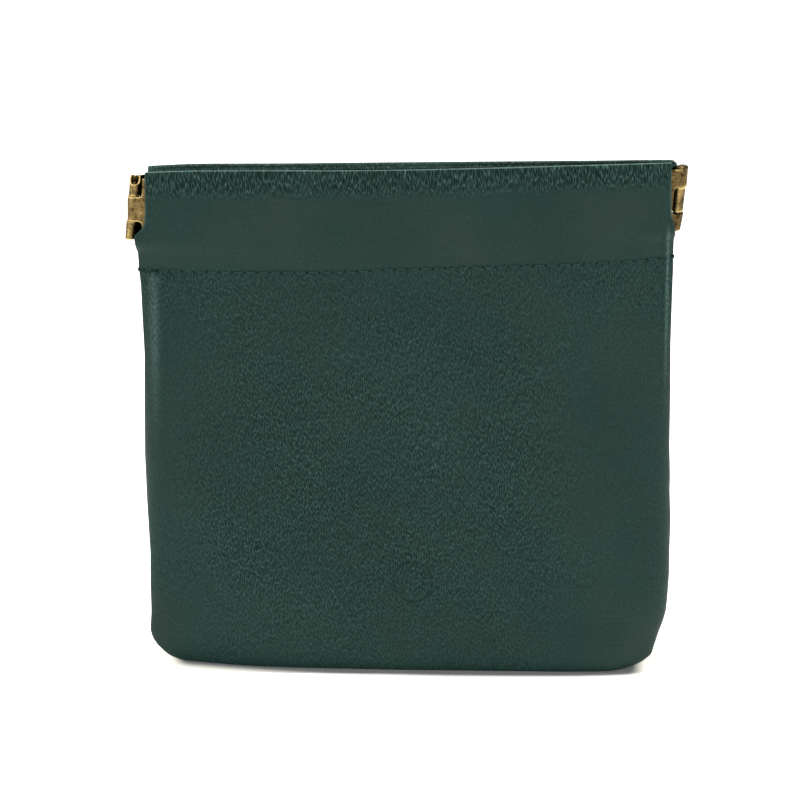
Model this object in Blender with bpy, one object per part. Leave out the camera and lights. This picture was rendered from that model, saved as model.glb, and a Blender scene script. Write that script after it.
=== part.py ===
# Squeeze-mouth leather pouch: two sewn panels, two hemmed casings and a hinged spring-steel frame.
# Lengths are metres, angles degrees. The pouch stands on z = 0, its front faces -Y and x = 0 is its middle.
import math

import bmesh
import bpy
from mathutils import Matrix, Vector

# Pouch and leather
pouch_height = 0.1254
pouch_width = 0.1240
leather_thickness = 0.0010
belly_half_thickness = 0.0084
belly_height = 0.040
base_half_width = 0.0050
stitch_half_thickness = 0.0026
sewn_gap = 0.0003
left_corner_run = 0.0070
left_corner_rise = 0.0100
right_corner_run = 0.0105
right_corner_rise = 0.0180

# Casings, the folded hems that hold the strips
casing_setback = 0.0012
casing_depth = 0.0244
strip_play = 0.0002
fold_above_strip = 0.0019
tunnel_end_play = 0.0007
side_step_drop = 0.0010
side_step_height = 0.0022

# Spring frame
hinge_standoff = 0.0027
strip_height = 0.0150
strip_thickness = 0.00045
strip_joint_gap = 0.0003
knuckle_diameter = 0.0024
middle_knuckle_height = 0.0059
knuckle_gap = 0.0002
joggle_length = 0.0018
notch_clearance = 0.0007
notch_corner_radius = 0.0009
pin_diameter = 0.0010
pin_recess = 0.0012
pin_head_diameter = 0.0022
pin_head_height = 0.0007
pin_tip_bevel = 0.0002
frame_tilt = 1.5
knuckle_wrap = 285.0

# How finely the surfaces are divided
panel_columns = 16
panel_levels = 22
base_rows = 3
casing_columns = 8
fold_steps = 10
hem_steps = 4
joggle_steps = 6
knuckle_steps = 24
turn_steps = 24
notch_steps = 4

# Shapes given as powers and shares
side_roundness = 8.0
middle_strip_share = 0.33
column_crowding = 1.8
level_crowding = 1.7
base_roundness = 3.0
base_fullness = 1.6
hem_edge_share = 0.25
hem_draw_in_share = 0.9
smooth_angle = 40.0
cut_overrun = 0.0020

# Sizes that follow from the ones above
half_width = pouch_width / 2
half_casing = half_width - casing_setback
half_pin_span = half_casing + hinge_standoff
half_middle_strip = half_pin_span * middle_strip_share
half_gap = sewn_gap / 2
strip_plane = half_gap + leather_thickness + strip_play + strip_thickness / 2
casing_thickness = 2 * (strip_plane - half_gap)
outer_face = half_gap + casing_thickness
stitch_height = pouch_height - casing_depth
strip_top = pouch_height - fold_above_strip
strip_bottom = strip_top - strip_height
strip_middle = (strip_top + strip_bottom) / 2
knuckle_radius = knuckle_diameter / 2
roll_radius = knuckle_radius - strip_thickness / 2
notch_start = half_pin_span - knuckle_radius - notch_clearance
tilt_slope = math.tan(math.radians(frame_tilt))

leather_green = (0.027, 0.054, 0.045, 1.0)
aged_brass = (0.300, 0.215, 0.095, 1.0)
spring_steel = (0.350, 0.340, 0.320, 1.0)


def clear_scene():
    for thing in list(bpy.context.scene.objects):
        bpy.data.objects.remove(thing, do_unlink=True)


def make_material(name, colour, roughness, metallic):
    material = bpy.data.materials.new(name)
    material.use_nodes = True
    shader = material.node_tree.nodes["Principled BSDF"]
    shader.inputs["Base Color"].default_value = colour
    shader.inputs["Roughness"].default_value = roughness
    shader.inputs["Metallic"].default_value = metallic
    material.diffuse_color = colour
    return material


def smooth(share):
    # An even ease from 0 to 1.
    share = min(max(share, 0.0), 1.0)
    return share * share * (3 - 2 * share)


def finish_object(name, shape, material, origin, parent):
    # The mesh is built in place, then moved so that the object's origin lies at the given point.
    bmesh.ops.recalc_face_normals(shape, faces=shape.faces)
    mesh = bpy.data.meshes.new(name)
    shape.to_mesh(mesh)
    shape.free()
    mesh.transform(Matrix.Translation(-origin))
    mesh.materials.append(material)
    mesh.shade_smooth()
    mesh.set_sharp_from_angle(angle=math.radians(smooth_angle))
    thing = bpy.data.objects.new(name, mesh)
    bpy.context.scene.collection.objects.link(thing)
    thing.location = origin
    thing.parent = parent
    return thing


def cut_with(thing, cutter):
    cutter.hide_render = True
    cutter.display_type = "WIRE"
    cut = thing.modifiers.new("cut_" + cutter.name, "BOOLEAN")
    cut.operation = "DIFFERENCE"
    cut.object = cutter


def box_shape(low, high):
    # A box between two corners.
    shape = bmesh.new()
    size = high - low
    middle = (low + high) / 2
    bmesh.ops.create_cube(shape, size=1.0, matrix=Matrix.Translation(middle) @ Matrix.Diagonal((*size, 1)))
    return shape


def side_section(share):
    # How full the pouch is at a share of its half width: 1 in the middle, rounding off to 0 at the seam.
    return math.sqrt(max(0.0, 1 - abs(share) ** side_roundness))


def column_shares(count):
    # Shares from -1 to 1 across the width, closer together near the sides.
    right = [1 - (1 - step / count) ** column_crowding for step in range(1, count + 1)]
    return [-share for share in reversed(right)] + [0.0] + right


def belly_at(height):
    # Half thickness of the stuffed pouch at a height, widest at the belly and rounded under to the base.
    if height >= belly_height:
        share = (height - belly_height) / (stitch_height - belly_height)
        return belly_half_thickness - (belly_half_thickness - stitch_half_thickness) * smooth(share)
    rise = 1 - (1 - height / belly_height) ** base_roundness
    return base_half_width + (belly_half_thickness - base_half_width) * rise ** (1 / base_fullness)


def width_at(height, hand):
    # Half width at a height, drawn in by an elliptical corner near the base.
    run = left_corner_run if hand < 0 else right_corner_run
    rise = left_corner_rise if hand < 0 else right_corner_rise
    if height >= rise:
        return half_width
    return half_width - run * (1 - math.sqrt(1 - (1 - height / rise) ** 2))


def panel_rows(inset):
    # Grid of points of one face of a panel, from the stitch row down and then under to the bottom seam.
    rows = []
    shares = column_shares(panel_columns)
    for level in range(panel_levels, -1, -1):
        level_share = (level / panel_levels) ** level_crowding
        height = level_share * (stitch_height - half_gap)
        row = []
        for share in shares:
            x = share * (width_at(height, share) - inset)
            depth = half_gap + (belly_at(height) - inset - half_gap) * side_section(share)
            top = stitch_height - half_gap + x * tilt_slope
            row.append((x, depth, inset + level_share * (top - inset)))
        rows.append(row)
    lowest = rows[-1]
    for step in range(1, base_rows + 1):
        fade = 1 - step / base_rows
        rows.append([(x, half_gap + (depth - half_gap) * fade, z) for x, depth, z in lowest])
    return rows


def add_panel(name, facing, material):
    # A leather sheet with an outer face, an inner face one leather thickness inside it, and rims all round.
    shape = bmesh.new()
    grids = []
    for inset in (0.0, leather_thickness):
        grids.append([[shape.verts.new((x, facing * y, z)) for x, y, z in row] for row in panel_rows(inset)])
    outer, inner = grids
    row_count, column_count = len(outer), len(outer[0])
    for grid in grids:
        for row in range(row_count - 1):
            for column in range(column_count - 1):
                if row >= panel_levels and column in (0, column_count - 2):
                    continue
                corners = (grid[row][column], grid[row][column + 1])
                shape.faces.new((*corners, grid[row + 1][column + 1], grid[row + 1][column]))
    close_base_corners(shape, grids)
    rim = rim_of(outer)
    inner_rim = rim_of(inner)
    for step in range(len(rim)):
        following = (step + 1) % len(rim)
        shape.faces.new((rim[step], rim[following], inner_rim[following], inner_rim[step]))
    loose = [vertex for vertex in shape.verts if not vertex.link_faces]
    bmesh.ops.delete(shape, geom=loose, context="VERTS")
    return finish_object(name, shape, material, Vector((0, 0, 0)), None)


def close_base_corners(shape, grids):
    # Under the base the outermost columns meet the seam at one point, so a fan of triangles fills them.
    for grid in grids:
        for edge, beside in ((0, 1), (-1, -2)):
            point = grid[panel_levels][edge]
            for row in range(panel_levels, len(grid) - 1):
                shape.faces.new((point, grid[row][beside], grid[row + 1][beside]))


def rim_of(grid):
    # The border of a panel's face in order: along the top, down one side, along the seam and up the other.
    top = grid[0]
    right = [grid[row][-1] for row in range(1, panel_levels + 1)]
    seam = list(reversed(grid[-1][1:-1]))
    left = [grid[row][0] for row in range(panel_levels, 0, -1)]
    return top + right + seam + left


def casing_outline():
    # Outline of a folded hem seen from its end, as (depth, height): up the inside, over the fold, down the
    # outside and in at the stitch row.
    fold_radius = casing_thickness / 2
    fold_middle = half_gap + fold_radius
    fold_centre = pouch_height - fold_radius
    foot = stitch_height + half_gap
    points = [(half_gap, foot)]
    step_top = strip_bottom - side_step_drop
    step_foot = step_top - side_step_height
    for step in range(hem_steps + 1):
        points.append((half_gap, step_foot + side_step_height * step / hem_steps))
    for step in range(fold_steps + 1):
        angle = math.pi * step / fold_steps
        points.append((fold_middle - fold_radius * math.cos(angle), fold_centre + fold_radius * math.sin(angle)))
    for step in range(hem_steps + 1):
        points.append((outer_face, step_top - side_step_height * step / hem_steps))
    draw_in = outer_face - stitch_half_thickness
    draw_in_height = (step_foot - foot) * hem_draw_in_share
    for step in range(hem_steps + 1):
        share = step / hem_steps
        points.append((outer_face - draw_in * smooth(share), foot + draw_in_height * (1 - share)))
    return points


def sewn_share(height):
    # 1 where the hem's ends are sewn to each other below the hinges, 0 where they are open.
    return smooth((strip_bottom - side_step_drop - height) / side_step_height)


def add_casing(name, facing, material, frame):
    # The outline is carried along the pouch; below the hinges it widens and closes towards the side seam.
    shape = bmesh.new()
    outline = casing_outline()
    rings = []
    for share in column_shares(casing_columns):
        ring = []
        for depth, height in outline:
            sewn = sewn_share(height)
            reach = half_casing + (half_width - half_casing) * sewn
            fullness = hem_edge_share + (1 - hem_edge_share) * side_section(share)
            closed_depth = half_gap + (depth - half_gap) * (1 - sewn * (1 - fullness))
            ring.append(shape.verts.new((share * reach, facing * closed_depth, height - strip_middle)))
        rings.append(ring)
    for first, second in zip(rings, rings[1:]):
        for step in range(len(outline)):
            following = (step + 1) % len(outline)
            shape.faces.new((first[step], first[following], second[following], second[step]))
    shape.faces.new(rings[0])
    shape.faces.new(rings[-1])
    casing = finish_object(name, shape, material, Vector((0, 0, 0)), frame)
    reach = half_casing + cut_overrun
    walls = sorted((facing * (half_gap + leather_thickness), facing * (outer_face - leather_thickness)))
    low = Vector((-reach, walls[0], strip_bottom - tunnel_end_play - strip_middle))
    high = Vector((reach, walls[1], pouch_height - leather_thickness - strip_play - strip_middle))
    tunnel = finish_object(name + "_tunnel", box_shape(low, high), material, Vector((0, 0, 0)), frame)
    cut_with(casing, tunnel)
    return casing


def strip_end_path():
    # Centre line of a strip's end seen from above, as (x, depth): straight, a joggle in towards the hinge
    # axis, then a roll round the pin.
    start = half_middle_strip + strip_joint_gap / 2
    joggle_start = half_pin_span - knuckle_radius / 2 - joggle_length
    points = [(start, strip_plane)]
    for step in range(joggle_steps + 1):
        share = step / joggle_steps
        depth = strip_plane + (roll_radius - strip_plane) * smooth(share)
        points.append((joggle_start + joggle_length * share, depth))
    for step in range(knuckle_steps + 1):
        angle = math.radians(knuckle_wrap) * step / knuckle_steps
        points.append((half_pin_span + roll_radius * math.sin(angle), roll_radius * math.cos(angle)))
    return points


def add_strip_end(name, facing, hand, middle_knuckle, material, middle):
    # A sheet of even thickness follows the path; notches then leave one knuckle or two.
    shape = bmesh.new()
    points = strip_end_path()
    posts = []
    for step, (x, depth) in enumerate(points):
        before = points[max(step - 1, 0)]
        after = points[min(step + 1, len(points) - 1)]
        along = Vector((after[0] - before[0], after[1] - before[1])).normalized()
        across = Vector((-along.y, along.x)) * strip_thickness / 2
        post = []
        for side, height in ((1, -1), (1, 1), (-1, 1), (-1, -1)):
            corner = Vector((x, depth)) + side * across
            post.append(shape.verts.new((hand * corner.x, facing * corner.y, height * strip_height / 2)))
        posts.append(post)
    for first, second in zip(posts, posts[1:]):
        for corner in range(4):
            following = (corner + 1) % 4
            shape.faces.new((first[corner], first[following], second[following], second[corner]))
    shape.faces.new(posts[0])
    shape.faces.new(posts[-1])
    axis = Vector((hand * half_middle_strip, facing * strip_plane, 0))
    end = finish_object(name, shape, material, axis, middle.parent)
    hold_in_place(end, middle)
    for number, (low, high) in enumerate(notch_heights(middle_knuckle)):
        cut_with(end, add_notch(f"{name}_notch_{number}", hand, low, high, material, middle.parent))
    return end


def notch_heights(middle_knuckle):
    # Where the sheet is cut away for the other strip's knuckles, measured from the strip's middle height.
    inner = middle_knuckle_height / 2
    outer = strip_height / 2 + cut_overrun
    if middle_knuckle:
        return [(inner, outer), (-outer, -inner)]
    return [(-inner - knuckle_gap, inner + knuckle_gap)]


def add_notch(name, hand, low, high, material, frame):
    # A block with rounded inner corners that removes the sheet beyond the notch's edge.
    reach = half_pin_span + knuckle_radius + cut_overrun
    ends = sorted((hand * notch_start, hand * reach))
    across = outer_face + cut_overrun
    shape = box_shape(Vector((ends[0], -across, low)), Vector((ends[1], across, high)))
    corners = []
    for edge in shape.edges:
        start, end = (vertex.co for vertex in edge.verts)
        middle = (start + end) / 2
        runs_through = abs(start.y - end.y) > across
        if runs_through and abs(middle.x) < half_pin_span and abs(middle.z) < strip_height / 2:
            corners.append(edge)
    bmesh.ops.bevel(shape, geom=corners, offset=notch_corner_radius, segments=notch_steps, affect="EDGES",
                    profile=0.5)
    return finish_object(name, shape, material, Vector((0, 0, 0)), frame)


def add_middle_strip(name, facing, material, frame):
    half_length = half_middle_strip - strip_joint_gap / 2
    half = Vector((half_length, strip_thickness / 2, strip_height / 2))
    centre = Vector((0, facing * strip_plane, 0))
    return finish_object(name, box_shape(centre - half, centre + half), material, centre, frame)


def add_turned(name, profile, axis, material, frame, parent):
    # A solid of revolution about a vertical axis, from (radius, height) points between two poles.
    shape = bmesh.new()
    rings = []
    for radius, height in profile:
        ring = []
        for step in range(turn_steps):
            angle = 2 * math.pi * step / turn_steps
            place = (axis.x + radius * math.cos(angle), axis.y + radius * math.sin(angle), height)
            ring.append(shape.verts.new(place))
        rings.append(ring)
    for first, second in zip(rings, rings[1:]):
        for step in range(turn_steps):
            following = (step + 1) % turn_steps
            shape.faces.new((first[step], first[following], second[following], second[step]))
    shape.faces.new(rings[0])
    shape.faces.new(rings[-1])
    pin = finish_object(name, shape, material, axis, frame)
    hold_in_place(pin, parent)
    return pin


def hold_in_place(thing, parent):
    # Parents a piece without moving it. No scale is used, so the parents' places are enough.
    place = thing.location.copy()
    holder = parent
    while holder is not None and holder is not thing.parent:
        place -= holder.location
        holder = holder.parent
    thing.parent = parent
    thing.location = place


def plain_pin_profile():
    # A straight pin, set back inside the knuckles at both ends, with its tips bevelled.
    radius = pin_diameter / 2
    reach = strip_height / 2 - pin_recess
    tip = radius - pin_tip_bevel
    return [(tip, -reach), (radius, -reach + pin_tip_bevel), (radius, reach - pin_tip_bevel), (tip, reach)]


def headed_pin_profile():
    # The same pin with a domed head that rests just above the top knuckle.
    radius = pin_diameter / 2
    low = pin_recess - strip_height / 2
    seat = strip_height / 2 + knuckle_gap
    profile = [(radius - pin_tip_bevel, low), (radius, low + pin_tip_bevel), (radius, seat)]
    head_radius = pin_head_diameter / 2
    for step in range(hem_steps + 1):
        angle = math.pi / 2 * step / (hem_steps + 1)
        profile.append((head_radius * math.cos(angle), seat + pin_head_height * math.sin(angle)))
    return profile


def add_frame(leather, brass, steel):
    # The whole frame sits a little askew on the stuffed pouch, so one tilted empty carries it.
    frame = bpy.data.objects.new("frame_carrier", None)
    bpy.context.scene.collection.objects.link(frame)
    frame.location = (0, 0, strip_middle)
    frame.rotation_euler = (0, -math.radians(frame_tilt), 0)
    ends = {}
    for side, facing in (("front", -1), ("back", 1)):
        add_casing(side + "_casing", facing, leather, frame)
        middle = add_middle_strip(side + "_strip_middle", facing, steel, frame)
        for end, hand in (("left", -1), ("right", 1)):
            one_knuckle = (side == "front") == (end == "left")
            name = f"{side}_strip_{end}"
            ends[name] = add_strip_end(name, facing, hand, one_knuckle, brass, middle)
    left_axis = Vector((-half_pin_span, 0, 0))
    right_axis = Vector((half_pin_span, 0, 0))
    add_turned("left_hinge_pin", plain_pin_profile(), left_axis, brass, frame, ends["front_strip_left"])
    add_turned("right_hinge_pin", headed_pin_profile(), right_axis, brass, frame, ends["front_strip_right"])


def main():
    clear_scene()
    leather = make_material("green_leather", leather_green, 0.45, 0.0)
    brass = make_material("aged_brass", aged_brass, 0.40, 1.0)
    steel = make_material("spring_steel", spring_steel, 0.35, 1.0)
    add_panel("front_panel", -1, leather)
    add_panel("back_panel", 1, leather)
    add_frame(leather, brass, steel)


main()
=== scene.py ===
import math

import bpy
import numpy as np
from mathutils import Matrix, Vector


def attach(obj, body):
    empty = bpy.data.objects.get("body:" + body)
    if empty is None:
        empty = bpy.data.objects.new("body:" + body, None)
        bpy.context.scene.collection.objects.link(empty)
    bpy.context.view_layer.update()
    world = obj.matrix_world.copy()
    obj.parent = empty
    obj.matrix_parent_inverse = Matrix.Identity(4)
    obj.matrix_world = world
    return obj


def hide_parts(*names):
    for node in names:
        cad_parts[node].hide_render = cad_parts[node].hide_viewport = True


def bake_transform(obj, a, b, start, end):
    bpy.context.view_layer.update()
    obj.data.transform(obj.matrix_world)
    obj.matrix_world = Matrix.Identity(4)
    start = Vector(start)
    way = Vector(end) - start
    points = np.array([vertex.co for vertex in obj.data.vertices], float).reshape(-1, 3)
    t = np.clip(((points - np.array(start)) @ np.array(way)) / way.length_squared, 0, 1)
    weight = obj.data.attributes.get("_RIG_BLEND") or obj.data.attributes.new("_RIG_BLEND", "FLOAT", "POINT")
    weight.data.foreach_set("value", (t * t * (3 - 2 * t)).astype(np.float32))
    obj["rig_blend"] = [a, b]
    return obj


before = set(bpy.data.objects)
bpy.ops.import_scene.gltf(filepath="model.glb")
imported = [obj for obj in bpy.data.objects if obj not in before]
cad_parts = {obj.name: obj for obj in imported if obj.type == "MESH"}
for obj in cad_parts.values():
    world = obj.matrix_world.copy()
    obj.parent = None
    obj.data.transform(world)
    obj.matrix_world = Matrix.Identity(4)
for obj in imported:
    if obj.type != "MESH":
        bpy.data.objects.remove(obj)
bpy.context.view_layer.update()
mm = 0.001
print("loaded", len(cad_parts), "nodes")

# Where the picture was taken from, in degrees and millimetres
camera = {
    "azimuth": 1.43,
    "elevation": 21.67,
    "distance": 1170.0,
    "aim": (0.0, 0.0, 62.7),
    "lens": 223.6,
    "shiftX": -0.00973,
    "shiftY": 0.02119,
}

# How the hinged strips lie in the CAD, in millimetres and degrees
spring = {
    "middleHeight": 116.0,
    "tilt": 1.5,
    "halfPinSpan": 63.5,
    "bendPlace": 20.955,
    "stripPlane": 1.575,
    "stripHalfHeight": 7.5,
    "openTravel": 15.5,
    "openTurn": 21.366,
    "bendFrom": 6.0,  # what rides on a strip bows between these distances from the middle
    "bendTo": 46.0,
}

# The front and back strips' two ends, with the directions that side and end lie in
quarters = [(side, facing, end, hand) for side, facing in (("front", -1), ("back", 1))
            for end, hand in (("left", -1), ("right", 1))]


# Helpers
def smoothStep(low, high, value):
    # 0 below low, 1 above high, and t * t * (3 - 2 t) between them.
    t = np.clip((np.asarray(value, float) - low) / (high - low), 0, 1)
    return t * t * (3 - 2 * t)


def smoothCurve(places, values, window):
    # Straight lines between the given points, averaged over a window, as a function of place.
    fine = np.arange(min(places) - 2 * window, max(places) + 2 * window, window / 12)
    kernel = np.hanning(15)
    padded = np.pad(np.interp(fine, places, values), 7, mode="edge")
    level = np.convolve(padded, kernel / kernel.sum(), mode="valid")
    return lambda at: np.interp(at, fine, level)


def lengthAlong(points, weight=1.0):
    # Length of a polyline up to each of its points, each step times its weight.
    steps = np.linalg.norm(np.diff(points, axis=0), axis=1) * weight
    return np.concatenate([[0], np.cumsum(steps)])


def evenly(points, count, crowd):
    # Resamples a polyline at even steps of its length; crowd gives a weight for each of its points.
    run = lengthAlong(points, (crowd[1:] + crowd[:-1]) / 2)
    at = np.linspace(0, run[-1], count)
    return np.stack([np.interp(at, run, points[:, axis]) for axis in range(points.shape[1])], 1)


def sheetFaces(grid):
    # Quads between neighbouring rows and columns of a grid of vertex numbers.
    return np.stack([grid[:-1, :-1], grid[:-1, 1:], grid[1:, 1:], grid[1:, :-1]], -1).reshape(-1, 4)


def tubeFaces(count, rings, sides):
    # Quads round equal tubes whose vertices follow each other, and the polygons that close their ends.
    grid = np.arange(rings * sides).reshape(rings, sides)
    starts = np.arange(count)[:, None, None] * grid.size
    quads = sheetFaces(np.concatenate([grid, grid[:, :1]], 1)) + starts
    caps = np.stack([grid[0, ::-1], grid[-1]]) + starts
    return quads.reshape(-1, 4), caps.reshape(-1, sides).tolist()


def shellFaces(rows, columns):
    # Two grids of one size, one over the other, and a band of quads that joins their borders.
    top = np.arange(rows * columns).reshape(rows, columns)
    under = top + rows * columns
    border = np.concatenate([top[0, :-1], top[:-1, -1], top[-1, :0:-1], top[:0:-1, 0]])
    following = np.roll(border, -1)
    band = np.stack([following, border, border + rows * columns, following + rows * columns], -1)
    return sheetFaces(top), sheetFaces(under)[:, ::-1], band


def borderMarks(rows, columns):
    # 1 on the border of a shell's upper grid, 2 on that of its lower grid, 0 inside.
    marks = np.zeros((2, rows, columns), int)
    for layer in (0, 1):
        marks[layer, [0, -1], :] = layer + 1
        marks[layer, :, [0, -1]] = layer + 1
    return marks.ravel()


def makePiece(name, points, parts, materials, fans=(), marks=None):
    # points in millimetres; parts is a list of (quads, material number); fans are polygons for small caps;
    # an edge between two vertices with the same mark above 0 is kept sharp. Faces are turned outwards where the
    # volume that they enclose comes out negative.
    quads = np.concatenate([quad for quad, number in parts])
    numbers = np.concatenate([np.full(len(quad), number) for quad, number in parts])
    a, b, c, d = (points[quads[:, corner]] for corner in range(4))
    volume = np.einsum("ij,ij->i", a, np.cross(b, c)).sum() + np.einsum("ij,ij->i", a, np.cross(c, d)).sum()
    if volume < 0:
        quads = quads[:, ::-1]
        fans = [fan[::-1] for fan in fans]
    mesh = bpy.data.meshes.new(name)
    mesh.from_pydata((points * mm).tolist(), [], quads.tolist() + [list(fan) for fan in fans])
    for material in materials:
        mesh.materials.append(material)
    slots = np.concatenate([numbers, np.zeros(len(fans))]).astype(np.int32)
    mesh.polygons.foreach_set("material_index", slots)
    mesh.shade_smooth()
    mesh.update()
    if marks is not None:
        ends = np.empty(len(mesh.edges) * 2, np.int32)
        mesh.edges.foreach_get("vertices", ends)
        ends = marks[ends.reshape(-1, 2)]
        sharp = mesh.attributes.new("sharp_edge", "BOOLEAN", "EDGE")
        sharp.data.foreach_set("value", (ends[:, 0] == ends[:, 1]) & (ends[:, 0] > 0))
    piece = bpy.data.objects.new(name, mesh)
    bpy.context.scene.collection.objects.link(piece)
    return piece


def setVectors(piece, name, values):
    # Keeps a vector for each vertex, in metres, for the material to read.
    attribute = piece.data.attributes.new(name, "FLOAT_VECTOR", "POINT")
    attribute.data.foreach_set("vector", (values * mm).astype(np.float32).ravel())


def setNumbers(piece, name, values):
    # Keeps a number for each vertex.
    attribute = piece.data.attributes.get(name) or piece.data.attributes.new(name, "FLOAT", "POINT")
    attribute.data.foreach_set("value", np.asarray(values, np.float32).ravel())


def tilted(x, y, h):
    # Turns a place in the tilted frame into one in the row frame.
    turn = math.radians(spring["tilt"])
    return np.stack([x * math.cos(turn) - h * math.sin(turn), y,
                     spring["middleHeight"] + x * math.sin(turn) + h * math.cos(turn)], -1)


def bowWithStrip(piece, side, end, hand):
    # The piece follows its strip's middle length, turns with the end length, and bows smoothly in between.
    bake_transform(piece, side + "_middle", side + "_" + end, (hand * spring["bendFrom"] * mm, 0, 0.116),
             (hand * spring["bendTo"] * mm, 0, 0.116))


# Materials
class Recipe:
    # The nodes of a material or a world, and short calls that add and link them.
    def __init__(self, owner):
        owner.use_nodes = True
        self.owner = owner
        self.tree = owner.node_tree
        self.shader = self.tree.nodes.get("Principled BSDF")

    def add(self, kind, settings=None, inputs=None):
        node = self.tree.nodes.new(kind)
        for key, value in (settings or {}).items():
            setattr(node, key, value)
        for key, value in (inputs or {}).items():
            self.put(node.inputs[key], value)
        return node

    def put(self, socket, value):
        if isinstance(value, bpy.types.NodeSocket):
            self.tree.links.new(value, socket)
        else:
            socket.default_value = value

    def math(self, operation, *values):
        return self.add("ShaderNodeMath", {"operation": operation}, dict(enumerate(values))).outputs[0]

    def times(self, first, second):
        return self.math("MULTIPLY", first, second)

    def length(self, across, up):
        return self.math("SQRT", self.math("MULTIPLY_ADD", across, across, self.times(up, up)))

    def stretched(self, vector, factors, shift):
        # vector * factors + shift
        return self.add("ShaderNodeVectorMath", {"operation": "MULTIPLY_ADD"},
                        {0: vector, 1: factors, 2: shift}).outputs[0]

    def mapped(self, vector, scale, turn=0.0):
        return self.add("ShaderNodeMapping", {}, {"Vector": vector, "Scale": scale,
                                                  "Rotation": (0, 0, math.radians(turn))}).outputs[0]

    def attribute(self, name, output="Fac"):
        return self.add("ShaderNodeAttribute", {"attribute_name": name}).outputs[output]

    def objectPlace(self):
        return self.add("ShaderNodeTexCoord").outputs["Object"]

    def apart(self, vector):
        return self.add("ShaderNodeSeparateXYZ", {}, {"Vector": vector}).outputs

    def noise(self, place, scale, detail=3.0, roughness=0.5, output="Fac"):
        return self.add("ShaderNodeTexNoise", {}, {"Vector": place, "Scale": scale, "Detail": detail,
                                                   "Roughness": roughness}).outputs[output]

    def remap(self, *values, kind="SMOOTHSTEP"):
        # value, low, high, new low, new high
        return self.add("ShaderNodeMapRange", {"interpolation_type": kind}, dict(enumerate(values))).outputs[0]

    def linear(self, *values):
        return self.remap(*values, kind="LINEAR")

    def blendColours(self, share, first, second, kind="MIX"):
        settings = {"data_type": "RGBA", "blend_type": kind, "clamp_factor": True}
        return self.add("ShaderNodeMix", settings, {0: share, 6: first, 7: second}).outputs[2]

    def layered(self, colour, layers):
        # Lays colours over each other, each by its share.
        for share, tint in layers:
            colour = self.blendColours(share, colour, tint)
        return colour

    def bump(self, strength, distance, height):
        return self.add("ShaderNodeBump", {}, {"Strength": strength, "Distance": distance * mm,
                                               "Height": height}).outputs[0]

    def seenRays(self):
        # 1 for the rays of the camera, of gloss and of transmission, 0 for the light that falls on things
        rays = self.add("ShaderNodeLightPath").outputs
        seen = self.math("MAXIMUM", rays["Is Camera Ray"], rays["Is Glossy Ray"])
        return self.math("MAXIMUM", seen, rays["Is Transmission Ray"])

    def finish(self, colour, roughness, bump, fixed):
        sockets = {"Base Color": colour, "Roughness": roughness, "Normal": bump, **fixed}
        for name, value in sockets.items():
            self.put(self.shader.inputs[name], value)
        return self.owner


leatherLook = {
    "valleyAndShade": (0.0020, 0.0140, 0.0112, 1),
    "ridge": (0.0112, 0.0354, 0.0297, 1),
    "olive": (0.0246, 0.0420, 0.0336, 1),
    "worn": (0.0600, 0.1300, 0.1115, 1),
    # pale tints for the painted highlights on the hem crests and beside the side seams
    "crestSheenAndEdgeTint": (0.2300, 0.3900, 0.3400, 1),
    "rubbed": (0.1200, 0.2150, 0.1900, 1),
    "hole": (0.0015, 0.0050, 0.0040, 1),
    "cellWide": 0.50,  # millimetres
    "cellHigh": 2.25,
    "strokeWide": 0.30,
    "strokeHigh": 1.70,
    "slant": -8.0,
    "scatter": 1.0,
    "warp": 0.36,
    "depth": 0.10,
    "specular": 0.088,
    "holeInner": 0.12,
    "holeOuter": 0.35,
    "stampCentre": (1.4, 23.4),
    "stampHalf": (4.6, 5.2),
}


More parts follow.
